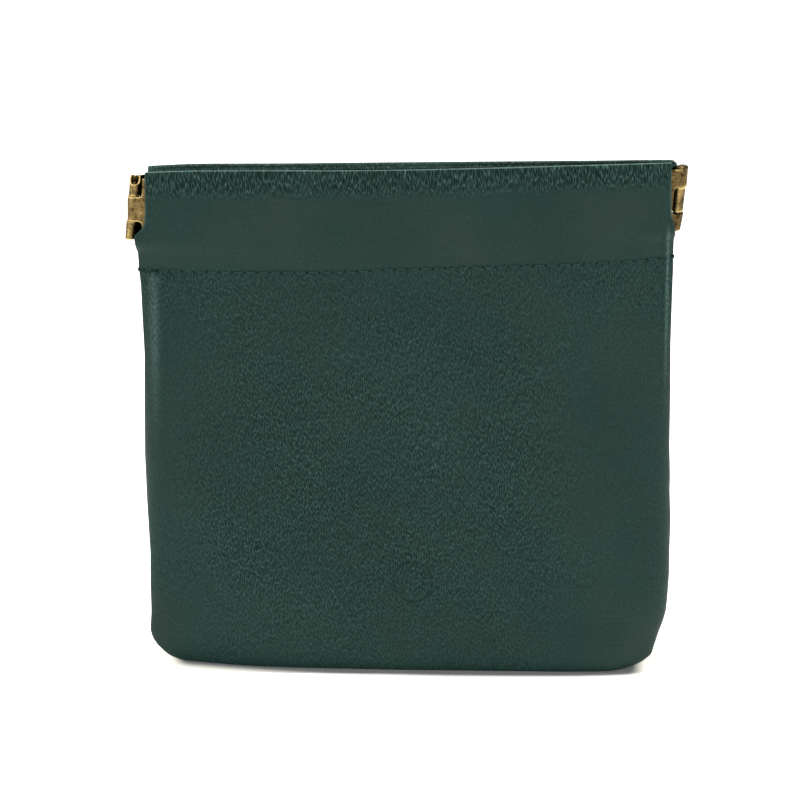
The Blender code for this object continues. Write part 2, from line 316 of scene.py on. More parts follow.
def leather(name, look):
    # Grained leather: a net of thin ridges round small upright hollows, made by a stretched Voronoi pattern whose
    # grid is turned by 45 degrees, broken up by short noise strokes; finer pores, slow changes of tone and gloss,
    # needle holes along the stitch row and a plain pressed oval.
    recipe = Recipe(bpy.data.materials.new(name))
    place = recipe.attribute("leatherPlace", "Vector")
    strength = recipe.attribute("grainStrength")
    # a slower noise pushes the net about
    push = look["warp"] * mm * 2
    pushed = recipe.stretched(recipe.noise(place, 170.0, output="Color"), (push, push, 0), place)
    slanted = recipe.mapped(pushed, (1, 1, 1), look["slant"])
    drawn = recipe.mapped(slanted, (1 / (look["strokeWide"] * mm), 1 / (look["strokeHigh"] * mm), 1))
    strokes = recipe.noise(drawn, 1.0, 2.0)
    root = math.sqrt(2) / mm
    net = recipe.mapped(slanted, (root / look["cellWide"], root / look["cellHigh"], 1), 45)
    cells = {"Vector": net, "Scale": 1.0, "Randomness": look["scatter"]}
    edge = recipe.add("ShaderNodeTexVoronoi", {"voronoi_dimensions": "2D", "feature": "DISTANCE_TO_EDGE"},
                      cells).outputs["Distance"]
    chance = recipe.add("ShaderNodeTexVoronoi", {"voronoi_dimensions": "2D"}, cells).outputs["Color"]
    field = recipe.math("ADD", edge, recipe.linear(strokes, 0.0, 1.0, -0.30, 0.30))
    ridge = recipe.remap(field, -0.04, 0.18, 1.0, 0.0)
    hollow = recipe.times(recipe.remap(field, 0.10, 0.38, 0.0, 1.0), recipe.linear(chance, 0.1, 0.8, 0.65, 1.0))
    pores = recipe.noise(net, 2.6, 2.0, 0.6)
    tone = recipe.noise(place, 24.0, roughness=0.55)
    hue = recipe.noise(place, 45.0, output="Color")
    # the grain shows more in some patches than in others, and less where the leather is stretched
    depth = recipe.times(recipe.remap(recipe.noise(place, 55.0), 0.32, 0.68, 0.66, 1.06), strength)
    relief = recipe.math("MULTIPLY_ADD", pores, 0.25, recipe.math("SUBTRACT", ridge, hollow))
    # a needle hole at every stitch end
    seam = recipe.apart(recipe.attribute("seamPlace", "Vector"))
    reach = recipe.length(recipe.math("PINGPONG", seam["X"], pouch["stitchPitch"] / 2 * mm), seam["Y"])
    hole = recipe.remap(reach, look["holeInner"] * mm, look["holeOuter"] * mm, 1.0, 0.0)
    # the pressed oval: a ring of even width
    (halfWide, halfHigh), (middleX, middleZ) = look["stampHalf"], look["stampCentre"]
    stamp = recipe.stretched(place, (1 / (halfWide * mm), 1 / (halfHigh * mm), 0),
                             (-middleX / halfWide, -middleZ / halfHigh, 0))
    ring = recipe.add("ShaderNodeVectorMath", {"operation": "LENGTH"}, {0: stamp}).outputs["Value"]
    ring = recipe.math("ABSOLUTE", recipe.math("SUBTRACT", ring, 1.0))
    pressed = recipe.remap(ring, 0.025, 0.075, 1.0, 0.0)
    height = recipe.times(relief, depth)
    height = recipe.math("MULTIPLY_ADD", pressed, -0.8, height)
    height = recipe.math("MULTIPLY_ADD", hole, -1.5, height)
    # colour: dark in the hollows, lighter on the ridges, with painted highlights on the hem crests and beside the side
    # seams and painted shade down between the crests
    browned = recipe.times(recipe.remap(hue, 0.36, 0.64, 0.15, 0.80), recipe.linear(strength, 0.20, 0.36, 1.0, 0.35))
    shown = recipe.times(hollow, depth)
    colour = recipe.layered(look["ridge"], (
        (browned, look["olive"]),
        (recipe.times(shown, 0.82), look["valleyAndShade"]),
        (recipe.times(recipe.times(ridge, depth), 0.60), look["worn"]),
        # painted highlight on the hem crests, with a pale worn line at the hems' cut ends
        (recipe.attribute("crestSheenAndEdgeWear"), look["crestSheenAndEdgeTint"]),
        # painted highlight beside the side seams
        (recipe.times(recipe.attribute("seamSheen"), recipe.remap(field, 0.02, 0.30, 1.0, 0.25)), look["rubbed"]),
        # painted shade down between the hem crests
        (recipe.attribute("deep"), look["valleyAndShade"]),
        (recipe.times(pressed, 0.5), look["valleyAndShade"]),
        (hole, look["hole"])))
    shade = recipe.times(recipe.linear(tone, 0.3, 0.7, 0.88, 1.12), recipe.linear(pores, 0.3, 0.7, 0.90, 1.10))
    grey = recipe.add("ShaderNodeCombineColor", {}, {"Red": shade, "Green": shade, "Blue": shade}).outputs[0]
    colour = recipe.blendColours(1.0, colour, grey, "MULTIPLY")
    roughness = recipe.math("MULTIPLY_ADD", shown, 0.15, recipe.linear(tone, 0.3, 0.7, 0.46, 0.54))
    return recipe.finish(colour, roughness, recipe.bump(1.0, look["depth"], height),
                         {"Specular IOR Level": look["specular"]})


fleshLook = {
    "low": (0.016, 0.036, 0.030, 1),
    "fibre": (0.034, 0.062, 0.053, 1),
    "stain": (0.022, 0.040, 0.034, 1),
}


def fleshSide(name, look):
    # The back of the leather: matt, slightly fibrous, by a fine noise and a slow one.
    recipe = Recipe(bpy.data.materials.new(name))
    place = recipe.objectPlace()
    fibres = recipe.noise(place, 900.0, 5.0, 0.7)
    colour = recipe.layered(look["low"], (
        (recipe.remap(fibres, 0.35, 0.65, 0.0, 1.0), look["fibre"]),
        (recipe.remap(recipe.noise(place, 60.0), 0.3, 0.7, 0.0, 0.35), look["stain"])))
    return recipe.finish(colour, recipe.remap(fibres, 0.3, 0.7, 0.75, 0.95), recipe.bump(0.6, 0.08, fibres),
                         {"Specular IOR Level": 0.15})


threadLook = {"low": (0.018, 0.050, 0.042, 1), "proud": (0.045, 0.105, 0.090, 1)}


def waxedThread(name, look):
    # Twisted strands along the stitch, by slanting bands, a little lighter where they are proud.
    recipe = Recipe(bpy.data.materials.new(name))
    strands = recipe.add("ShaderNodeTexWave", {"wave_type": "BANDS", "bands_direction": "DIAGONAL"},
                         {"Vector": recipe.attribute("threadPlace", "Vector"), "Scale": 1.0, "Distortion": 0.6,
                          "Detail": 1.0}).outputs["Fac"]
    colour = recipe.blendColours(strands, look["low"], look["proud"])
    return recipe.finish(colour, recipe.remap(strands, 0.0, 1.0, 0.6, 0.5), recipe.bump(0.8, 0.05, strands),
                         {"Specular IOR Level": 0.15})


brassLook = {
    "dark": (0.022, 0.014, 0.007, 1),
    "plain": (0.140, 0.096, 0.038, 1),
    "bright": (0.340, 0.245, 0.098, 1),
    "rubbed": (0.760, 0.570, 0.230, 1),
    "grime": (0.010, 0.006, 0.003, 1),
    "sheetRough": 0.36,
    "pinRough": 0.26,
}


def agedBrass(name, look, rough):
    # Brass that has gone brown in patches and specks, by two noises, and stays bright where its rims are rubbed;
    # with a painted highlight down the front of the rolls and painted shade on their turned-away sides and on the
    # back leaves' flat ends.
    recipe = Recipe(bpy.data.materials.new(name))
    place = recipe.objectPlace()
    clouds = recipe.noise(place, 620.0, 5.0, 0.65)
    specks = recipe.noise(place, 2600.0, 3.0, 0.6)
    lines = recipe.noise(recipe.mapped(place, (3200, 3200, 260)), 1.0, 2.0)
    colour = recipe.layered(look["dark"], (
        (recipe.remap(clouds, 0.34, 0.50, 0.1, 1.0), look["plain"]),
        (recipe.remap(clouds, 0.55, 0.72, 0.0, 0.8), look["bright"]),
        (recipe.remap(specks, 0.53, 0.64, 0.0, 0.85), look["dark"]),
        # painted shade on the turned-away sides of rolls and pins
        (recipe.attribute("coat"), look["dark"]),
        # pale wear on the rims, and the painted highlight down the front of the rolls
        (recipe.times(recipe.attribute("rubbed"), recipe.remap(clouds, 0.35, 0.60, 0.5, 1.0)), look["rubbed"]),
        # painted shade on the back leaves' flat ends, and a browner coat on some leaves
        (recipe.attribute("grime"), look["grime"])))
    height = recipe.math("MULTIPLY_ADD", lines, 0.4, recipe.times(specks, -0.6))
    return recipe.finish(colour, recipe.remap(clouds, 0.35, 0.65, rough + 0.18, rough),
                         recipe.bump(0.5, 0.03, height), {"Metallic": 1.0})


steelLook = {"dark": (0.22, 0.215, 0.205, 1), "bright": (0.42, 0.41, 0.39, 1)}


def springSteel(name, look):
    # Rolled spring steel with fine lines along the strip, by a noise stretched along it.
    recipe = Recipe(bpy.data.materials.new(name))
    lines = recipe.noise(recipe.mapped(recipe.objectPlace(), (120, 900, 5200)), 1.0, 3.0, 0.6)
    return recipe.finish(recipe.blendColours(lines, look["dark"], look["bright"]),
                         recipe.remap(lines, 0.3, 0.7, 0.28, 0.42), recipe.bump(0.3, 0.01, lines), {"Metallic": 1.0})


# The leather's shape
pouch = {
    "rowHeight": 101.0,  # the stitch row's height in the middle
    "seamGap": -0.02,
    "thickness": 1.0,
    "belly": 8.4,
    "bellyHeight": 40.0,
    "baseDepth": 5.0,
    "stitchDepth": 2.6,
    "section": (62.0, 7.0),  # half width and depth for which the points of a section are evenly spaced
    "sideRoundness": 8.0,
    # half width at each height, from the floor up
    "leftHeights": (0.0, 0.4, 1.0, 2.2, 3.8, 5.4, 7.5, 12.5, 20.0, 28.0, 41.0, 54.0, 66.0, 79.0, 89.0, 92.0, 96.5,
                    101.4),
    "leftWidths": (54.8, 56.3, 57.3, 58.7, 60.2, 61.2, 61.8, 61.6, 61.65, 61.5, 61.95, 62.25, 62.15, 62.0, 62.4,
                   62.5, 62.65, 63.05),
    "rightHeights": (0.0, 0.3, 0.6, 1.6, 3.2, 5.8, 8.4, 11.0, 13.7, 16.3, 20.0, 23.0, 29.0, 35.0, 38.0, 44.0, 47.0,
                     55.0, 67.5, 80.0, 92.5, 98.0, 102.5),
    "rightWidths": (51.0, 53.0, 54.5, 56.6, 58.5, 59.3, 60.1, 61.1, 61.8, 62.0, 62.2, 62.35, 62.3, 62.4, 62.35,
                    62.05, 62.1, 61.8, 61.8, 61.7, 61.95, 62.05, 62.0),
    # height of the stitch row along the pouch
    "stitchPlaces": (-62.5, -48.0, -25.0, -14.5, -2.0, 21.5, 44.5, 56.0, 62.0),
    "stitchHeights": (99.55, 99.5, 99.6, 99.8, 100.55, 101.4, 102.5, 103.3, 104.0),
    "stitchPitch": 2.92,
    "grooveDepth": 0.17,
    "grooveWidth": 0.70,
    "dentDepth": 0.22,
    # depth of the base's front edge along the pouch, how far the left corner is off the floor and how flat it is
    "basePlaces": (-62.0, -53.0, -46.0, -40.5, -34.0, -25.7, -1.7, 27.0, 47.0, 50.0, 53.0, 62.0),
    "baseDepths": (2.9, 3.2, 4.0, 4.5, 4.9, 5.3, 5.95, 6.0, 6.25, 6.5, 5.3, 4.2),
    "leftLift": 0.2,
    "leftFlat": 0.36,
    "seamTuck": 0.35,
    # the soft rolls beside the side seams and the painted highlights along them: place, width, height or
    # strength, top, where it is full, foot
    "rolls": ((-58.9, 1.8, 0.9, 99.8, 98.6, 52.0), (60.1, 0.75, 0.60, 113.0, 109.0, 60.0)),
    "seamSheenLines": ((-59.1, 1.05, 0.55, 99.8, 98.6, 52.0), (60.3, 0.36, 0.70, 113.0, 109.0, 60.0)),
    "frontGrid": (190, 231),
    "backGrid": (150, 181),
}

grainLeather = leather("grain_leather", leatherLook)
fleshLeather = fleshSide("flesh_side", fleshLook)
thread = waxedThread("green_thread", threadLook)
brass = agedBrass("aged_brass_look", brassLook, brassLook["sheetRough"])
pinBrass = agedBrass("pin_brass_look", brassLook, brassLook["pinRough"])
steel = springSteel("spring_steel_look", steelLook)
print("materials made")

leftWidth = smoothCurve(pouch["leftHeights"], pouch["leftWidths"], 1.2)
rightWidth = smoothCurve(pouch["rightHeights"], pouch["rightWidths"], 1.2)
stitchLine = smoothCurve(pouch["stitchPlaces"], pouch["stitchHeights"], 9.0)
baseEdge = smoothCurve(pouch["basePlaces"], pouch["baseDepths"], 6.0)


def halfWidth(height, hand):
    # Half width on the side that hand names, below 0 for the left and above for the right.
    return np.where(hand < 0, leftWidth(height), rightWidth(height))


def fullness(share):
    # Share of the full depth at a share of the half width: sqrt(1 - share^8).
    return np.sqrt(np.clip(1 - share ** pouch["sideRoundness"], 0, 1))


def sectionShares(count):
    # Shares of half width and depth along the section |x|^8 + y^2 = 1, evenly spaced on a section of the pouch's
    # size, from the left seam over the front to the right seam.
    wide, deep = pouch["section"]
    angle = np.linspace(-math.pi / 2, math.pi / 2, 6001)
    across = np.sign(angle) * np.abs(np.sin(angle)) ** (2 / pouch["sideRoundness"])
    points = evenly(np.stack([across * wide, np.cos(angle) * deep], 1), count, 1 + 2.5 * (np.abs(across) > 0.93))
    return points[:, 0] / wide, np.clip(points[:, 1] / deep, 0, 1)


def bellyDepth(height):
    # Half thickness: from the belly up it eases in to the stitch row, and below it rounds under to the base.
    belly, base = pouch["belly"], pouch["baseDepth"]
    top = belly - (belly - pouch["stitchDepth"]) * smoothStep(pouch["bellyHeight"], pouch["rowHeight"], height)
    rise = 1 - (1 - np.clip(height / pouch["bellyHeight"], 0, 1)) ** 3
    return np.where(height >= pouch["bellyHeight"], top, base + (belly - base) * rise ** 0.625)


def panelProfile(count):
    # Depth and height from the stitch row down the belly, under the base and in to the bottom seam.
    heights = pouch["rowHeight"] * np.linspace(1, 0, 1600) ** 1.6
    wall = np.stack([bellyDepth(heights), heights], 1)
    floor = np.stack([np.linspace(pouch["baseDepth"], pouch["seamGap"], 60)[1:], np.zeros(59)], 1)
    line = np.concatenate([wall, floor])
    return evenly(line, count, 1 + 1.5 * (line[:, 1] < 6) + 1.2 * (line[:, 1] > 97))


def grooveAt(along, above):
    # The stitch row pulls the leather in, a little more at each stitch than between two.
    pull = np.exp(-(above / pouch["grooveWidth"]) ** 2)
    pucker = 0.68 + 0.32 * np.cos(2 * math.pi * along / pouch["stitchPitch"])
    return pouch["grooveDepth"] * pull * pucker


def dents(x, z, seed):
    # Slow swells and hollows of worn leather: a few long waves that cross at odd angles.
    chance = np.random.default_rng(seed)
    total = np.zeros_like(x)
    for length in (62.0, 47.0, 33.0, 24.0, 17.0):
        angle, phase = chance.uniform(0, 2 * math.pi, 2)
        total += length / 62.0 * np.sin(2 * math.pi * (x * math.cos(angle) + z * math.sin(angle)) / length + phase)
    return total / 2.4


def tucked(x, depth):
    # The side seam draws the leather in where front and back meet.
    return x - np.sign(x) * pouch["seamTuck"] * np.exp(-((depth - pouch["seamGap"]) / 0.55) ** 2)


def besideSeams(x, z, bands):
    # Bands along the side seams, which the turned seam inside stiffens: height * exp(-((x - place) / width)^2),
    # fading in below the top and out towards the foot.
    total = np.zeros(np.broadcast(x, z).shape)
    for place, width, height, top, full, foot in bands:
        bell = np.exp(-((x - place) / width) ** 2)
        total = total + height * bell * smoothStep(top, full, z) * smoothStep(foot, full - 8, z)
    return total


def panelSheet(inset, rows, columns, seed, facing):
    # The panel's face: each height of the profile carries the section across, scaled to its width and depth. With
    # it comes how high each point lies on the leather laid flat: the stitch row's height less the length down to it.
    across, deep = sectionShares(columns)
    profile = panelProfile(rows)
    depth, height = profile[:, :1], profile[:, 1:]
    x = across[None, :] * (halfWidth(height, across[None, :]) - inset)
    gap = pouch["seamGap"]
    # the lower left part is flatter than the rest
    deep = deep[None, :] * (1 - pouch["leftFlat"] * smoothStep(-34, -56, x) * smoothStep(58, 16, height))
    low = smoothStep(15, 0, height)
    spread = 1 + (baseEdge(x) / pouch["baseDepth"] - 1) * low
    y = gap + (np.maximum(depth - inset, gap) - gap) * deep ** (1 - 0.60 * low) * spread
    z = height / pouch["rowHeight"] * (stitchLine(x) - inset) + inset
    z = z + pouch["leftLift"] * smoothStep(-28, -56, x) * smoothStep(22, 0, height)
    along = stitchLine(x) - lengthAlong(profile)[:, None]
    if inset == 0:
        free = smoothStep(0, 0.5, deep) * smoothStep(2, 14, height) * smoothStep(101, 90, height)
        y = y + pouch["dentDepth"] * dents(x, z, seed) * free
        y = y + besideSeams(x, z, pouch["rolls"]) * smoothStep(0, 0.55, deep)
        y = y - grooveAt(x, z - stitchLine(x)) * smoothStep(0.0, 0.3, deep)
        x = x + (tucked(x, y) - x) * smoothStep(0.4, 3.0, height)
        y = np.maximum(y, gap)
    return np.stack([x, facing * y, z + np.zeros_like(x)], -1), along


def grainStrengthAt(x, z):
    # Strong grain in the middle of the face, fading towards the sides and the base where the leather is pulled,
    # and below the middle of the stitch row.
    side = 1 - 0.72 * smoothStep(28, 55, np.abs(x + 7)) * smoothStep(101, 84, z)
    base = 1 - 0.40 * smoothStep(30, 4, z)
    under = 1 - 0.28 * smoothStep(78, 96, z) * smoothStep(46, 26, np.abs(x - 6))
    lower = 1 + 0.15 * smoothStep(76, 50, z)
    return side * base * under * lower


def openingShare(x, z):
    # How far a point of the panel follows the strip: fully at the stitch row's middle, not at all at the base or
    # the side seams, and on the same line as the hem above it, which turns away by the tangent of its bend.
    reach = np.abs(x)
    turn = smoothStep(spring["bendFrom"], spring["bendTo"], reach) * math.radians(spring["openTurn"])
    back = (reach - spring["bendPlace"]) * np.tan(turn) + 1.0 * (1 - np.cos(turn))
    sideways = np.clip(1 - back / spring["openTravel"], 0, 1)
    return sideways * smoothStep(6, 101, z)


def leatherPiece(name, facing, faces, bandLook, along, above):
    # An outer and an inner face of leather, closed by a band round their border. Each vertex keeps how high it lies
    # on the leather laid flat, for the grain, and how far above the stitch row; the back reads its grain 150 mm
    # beside the front's.
    rows, columns = faces[0].shape[:2]
    points = np.concatenate([face.reshape(-1, 3) for face in faces])
    face, back, band = shellFaces(rows, columns)
    piece = makePiece(name, points, [(face, 0), (back, 1), (band, bandLook)], [grainLeather, fleshLeather],
                      marks=borderMarks(rows, columns))
    x, nothing = points[:, 0], np.zeros(len(points))
    setVectors(piece, "leatherPlace", np.stack([x + 150 * (facing > 0), along, nothing], 1))
    setVectors(piece, "seamPlace", np.stack([x, above, nothing], 1))
    return piece, x, points[:, 2]


def addPanel(side, facing, grid, seed):
    sheets = [panelSheet(inset, *grid, seed, facing) for inset in (0.0, pouch["thickness"])]
    above = np.concatenate([(face[..., 2] - stitchLine(face[..., 0])).ravel() for face, along in sheets])
    piece, x, z = leatherPiece(side + "_leather", facing, [face for face, along in sheets], 1,
                               np.concatenate([along.ravel() for face, along in sheets]), above)
    setNumbers(piece, "grainStrength", grainStrengthAt(x, z))
    setNumbers(piece, "crestSheenAndEdgeWear", np.zeros(len(x)))
    # painted highlight beside the side seams, on the front only
    setNumbers(piece, "seamSheen", besideSeams(x, z, pouch["seamSheenLines"]) * (facing < 0))
    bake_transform(piece, "pouch", side + "_middle", (0, 0, 0), (0, 0, 0.101))
    setNumbers(piece, "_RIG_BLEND", openingShare(x, z))
    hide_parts(side + "_panel")


addPanel("front", -1, pouch["frontGrid"], 11)
addPanel("back", 1, pouch["backGrid"], 23)
print("panels made")

# The hems that hold the strips
hem = {
    "half": 0.45,  # half the leather's thickness
    "outerDepth": 2.5,
    "innerDepth": 0.65,
    "crestHalf": 0.27,
    "crestRadius": 0.28,
    "crestDrop": {-1: 1.7, 1: 2.6},
    "rise": 24.4,
    "allowance": 3.0,
    "edgeRound": 0.42,
    "innerReach": 60.7,
    "sewnFrom": 108.6,
    "sewnTo": 104.6,
    # how much thicker the leather is inside, near the ends where it hugs the strip, and above the strip
    "hug": 0.30,
    "pinch": 0.22,
    "dentDepth": 0.10,
    # reach of the outer layer at each height above the floor, before the frame's tilt
    "reach": {
        "front_left": ((100.0, 103.0, 105.0, 106.6, 108.2, 109.2, 110.0, 110.5, 111.3, 112.6, 113.6, 116.0, 127.0),
                       (63.05, 63.1, 63.15, 63.2, 63.35, 63.45, 63.3, 62.7, 61.75, 61.15, 60.95, 60.8, 60.7)),
        "front_right": ((100.0, 103.0, 105.0, 106.6, 108.4, 110.0, 111.5, 113.1, 116.0, 127.0),
                        (62.0, 61.95, 62.0, 61.85, 61.9, 61.6, 61.15, 60.95, 60.9, 60.75)),
        "back_left": ((100.0, 103.0, 105.8, 108.2, 110.0, 111.4, 112.6, 116.0, 127.0),
                      (63.0, 63.1, 63.3, 63.1, 62.3, 61.2, 60.5, 60.4, 60.25)),
        "back_right": ((100.0, 104.0, 106.4, 108.4, 110.0, 111.5, 113.1, 122.4, 123.3, 123.9, 124.4, 125.0, 125.6),
                       (62.0, 62.05, 62.1, 61.8, 61.5, 61.1, 60.9, 60.9, 61.4, 62.25, 62.2, 61.4, 61.1)),
    },
    # how much higher the fold is along the pouch than the frame's tilt alone would put it
    "foldPlaces": {-1: (-61.0, -51.0, -36.0, -14.0, 0.0, 21.0, 35.0, 53.0, 61.0),
                   1: (-61.0, -50.0, -25.0, 0.0, 21.0, 44.0, 56.0, 61.0)},
    "foldHeights": {-1: (-0.10, 0.15, -0.05, -0.48, -0.55, -0.42, -0.22, 0.02, 0.15),
                    1: (-0.05, 0.36, 0.0, -0.16, -0.35, -0.56, -0.60, -0.70)},
    "rows": 140,
    "columns": 100,
}

foldLine = {facing: smoothCurve(hem["foldPlaces"][facing], hem["foldHeights"][facing], 12.0) for facing in (-1, 1)}


def hemPath(count, facing):
    # Middle line of the folded leather seen from its end, as depth and height above the stitch row: up the outer
    # face, half round a tight crest, steeply in over the strip's edge, down the inner face past the stitch row.
    outer, inner, tight = hem["outerDepth"], hem["innerDepth"], hem["crestRadius"]
    centre = hem["rise"] - hem["crestHalf"] - tight
    up = np.linspace(0, centre, 400)
    rising = pouch["stitchDepth"] - hem["half"]
    rising = rising + (outer - rising) * smoothStep(0, 6.5, up)
    turn = np.linspace(0, math.pi, 160)[1:]
    crest = np.stack([outer - tight + tight * np.cos(turn), centre + tight * np.sin(turn)], 1)
    fall = np.linspace(0, 1, 160)[1:]
    bend = np.stack([crest[-1, 0] + (inner - crest[-1, 0]) * smoothStep(0, 1, fall),
                     centre - hem["crestDrop"][facing] * fall], 1)
    down = np.linspace(bend[-1, 1], -hem["allowance"], 440)[1:]
    line = np.concatenate([np.stack([rising, up], 1), crest, bend, np.stack([np.full(439, inner), down], 1)])
    return evenly(line, count, 1 + 4.0 * (line[:, 1] > centre - 0.3) + 1.5 * ((line[:, 1] < 3) & (line[:, 0] > 1.5)))


def addHem(side, facing, end, hand):
    # The path is given its thickness and carried from the middle of the pouch to one end. Down the arrays go the
    # stations along the pouch, across them the points of the path.
    body, gap, rise = side + "_" + end, pouch["seamGap"], hem["rise"]
    slope = math.tan(math.radians(spring["tilt"]))
    path = hemPath(hem["rows"], facing)
    ahead = np.gradient(path, axis=0)
    ahead /= np.linalg.norm(ahead, axis=1)[:, None]
    normal = np.stack([ahead[:, 1], -ahead[:, 0]], 1)
    turn = np.degrees(np.arctan2(normal[:, 1], normal[:, 0]))  # 0 on the outer face, 90 on top of the crest
    run, above = lengthAlong(path), path[:, 1]
    fold = run[np.argmax(above)]
    outerLayer = 1 - smoothStep(fold + 1.2, fold + 3.2, run)  # 1 on the outer layer, 0 on the folded-in one
    sewn = smoothStep(hem["sewnFrom"], hem["sewnTo"], pouch["rowHeight"] + above)
    further = halfWidth(pouch["rowHeight"], hand) - 1.2 - hem["innerReach"]
    innerReach = hem["innerReach"] + further * sewn
    reach = smoothCurve(*hem["reach"][body], 0.9)(pouch["rowHeight"] + above)
    reach = reach * outerLayer + innerReach * (1 - outerLayer)
    share = 1 - (1 - np.linspace(0, 1, hem["columns"])[:, None]) ** 1.5
    skived = hem["half"] + (hem["crestHalf"] - hem["half"]) * smoothStep(1.6, 0.7, np.abs(run - fold))
    faces = []
    for direction in (1, -1):
        # the leather's cut edges are rounded at the open end: the thickness falls off over the last bit of reach
        x = share * reach
        fromEnd = np.clip((reach - x) / hem["edgeRound"], 0, 1)
        roundOff = np.sqrt(np.clip(1 - (1 - fromEnd) ** 2, 0.02, 1))
        thick = skived * (roundOff + (1 - roundOff) * sewn)
        if direction < 0:
            # near its ends the hem hugs the strip and is pressed shut above it
            snug = smoothStep(46.5, 48.5, x) * smoothStep(59.5, 57.0, x)
            thick = thick + snug * (hem["hug"] + hem["pinch"] * smoothStep(22.9, 23.4, above)) * (1 - sewn)
        depth, height = (path[:, axis] + direction * thick * normal[:, axis] for axis in (0, 1))
        full = fullness(x / reach)
        depth = gap + (depth - gap) * (1 - sewn * (1 - full))
        x = hand * x
        top = pouch["rowHeight"] + rise + x * slope + foldLine[facing](x)
        z = stitchLine(x) + height * (top - stitchLine(x)) / rise
        if direction > 0:
            free = smoothStep(2.0, 8.0, height) * smoothStep(rise, 20.0, height) * outerLayer
            depth = depth + hem["dentDepth"] * dents(x, z, 31 + facing) * free
            roll = besideSeams(x, z, pouch["rolls"]) * outerLayer
            depth = depth + roll * smoothStep(0, 0.55, full) * smoothStep(rise, 15.0, height)
            depth = np.maximum(depth - grooveAt(x, height) * outerLayer * smoothStep(0.0, 0.3, full), gap)
            x = x + (tucked(x, depth) - x) * sewn * outerLayer
        else:
            x = x * (1 - 0.7 / reach * sewn)
        faces.append(np.stack([x, facing * depth, z], -1))

    def both(values):
        # one row of values along the path, repeated for every station and both faces
        return np.concatenate([np.broadcast_to(values, faces[0].shape[:2]).ravel()] * 2)

    # the hollows grow longer where the leather is bent over the crest
    stretch = np.gradient(run) / (1 + 0.5 * smoothStep(17.0, 21.5, run))
    along = np.cumsum(stretch) - stretch[0] + stitchLine(faces[0][..., 0])
    piece, x, z = leatherPiece(f"{side}_hem_{end}", facing, faces, 0, both(along), both(above))
    # the grain is strongest under the crest and almost flat where the hem is stretched over the strip
    taut = 0.20 + 0.4 * smoothStep(1.2, 0.0, above) + 1.80 * smoothStep(17.0, 21.5, above)
    setNumbers(piece, "grainStrength", both(taut * outerLayer + (1 - outerLayer)))
    # painted highlight along the front crest, where the fold turns up, and a faint pale line along the hem's cut end
    crest = smoothStep(52, 78, turn) * smoothStep(128, 112, turn)
    edgeLine = smoothStep(0.45, 0.15, reach * (1 - share)) * outerLayer * smoothStep(9.5, 11.0, above)
    rubbed = np.maximum(crest, 0.13 * edgeLine) * (facing < 0)
    # a painted highlight on the back crest too, and painted shade down between the two crests
    rubbed = rubbed + 0.26 * (facing > 0) * smoothStep(60, 85, turn) * smoothStep(fold + 2.0, fold + 1.2, run)
    setNumbers(piece, "crestSheenAndEdgeWear", both(rubbed))
    setNumbers(piece, "deep", both(0.92 * smoothStep(fold + 1.0, fold + 2.0, run)))
    # painted highlight beside the side seams, on the front only
    setNumbers(piece, "seamSheen", besideSeams(x, z, pouch["seamSheenLines"]) * both(outerLayer) * (facing < 0))
    bowWithStrip(piece, side, end, hand)
    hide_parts(side + "_casing")


for side, facing, end, hand in quarters:
    addHem(side, facing, end, hand)
print("hems made")

# Stitches
stitch = {
    "threadRadius": 0.16,
    "length": 2.45,
    "sink": 0.12,
    "wobble": 0.04,
    "reach": {-1: 60.8, 1: 59.6},
    "rings": 13,
    "sides": 8,
    # the two turns of thread round each side seam: their heights, the ellipse's middle and size, half its angle
    "wrapHeights": (-0.52, -0.28),
    "wrapInset": 1.22,
    "wrapHalf": (1.0, 0.95),
    "wrapAngle": 1.25,
    "wrapRings": 21,
}
around = np.linspace(0, 2 * math.pi, stitch["sides"], endpoint=False)


def addThread(name, count, rings, x, y, z, twist):
    # Tubes of thread in the leather's slot; twist is how far the strands have come along each.
    quads, caps = tubeFaces(count, rings, stitch["sides"])
    x, y, z, twist, turn = np.broadcast_arrays(x, y, z, twist, around)
    piece = makePiece(name, np.stack([x, y, z], -1).reshape(-1, 3), [(quads, 0)], [thread], caps)
    place = np.stack([twist / stitch["length"] * 9, turn, 0 * turn], -1).reshape(-1, 3)
    setVectors(piece, "threadPlace", place / mm)
    return piece


def addStitches(side, facing, end, hand):
    # Each stitch is a short arched tube between two holes; they are repeated along the stitch row.
    pitch, gap = pouch["stitchPitch"], pouch["seamGap"]
    centres = hand * (np.arange(int(stitch["reach"][hand] / pitch)) + 0.5) * pitch
    wobble = np.random.default_rng(71 + 2 * facing + hand).normal(0, stitch["wobble"], (len(centres), 2))
    along = np.linspace(-1, 1, stitch["rings"])[:, None]
    lift = 0.16 * (1 - along ** 4) - 0.30 * np.abs(along) ** 8
    radius = stitch["threadRadius"] * (1 - 0.35 * np.abs(along) ** 6)
    x = centres[:, None, None] + stitch["length"] / 2 * along
    full = fullness(np.abs(x) / halfWidth(pouch["rowHeight"], x))
    floor = gap + (pouch["stitchDepth"] - gap) * full
    y = floor - grooveAt(x, 0) + (lift - stitch["sink"]) + radius * np.cos(around)
    z = stitchLine(x) + 0.05 * facing * along + wobble[:, :1, None] + radius * np.sin(around)
    piece = addThread(f"{side}_stitches_{end}", len(centres), stitch["rings"], x, facing * y, z, x)
    bowWithStrip(piece, side, end, hand)


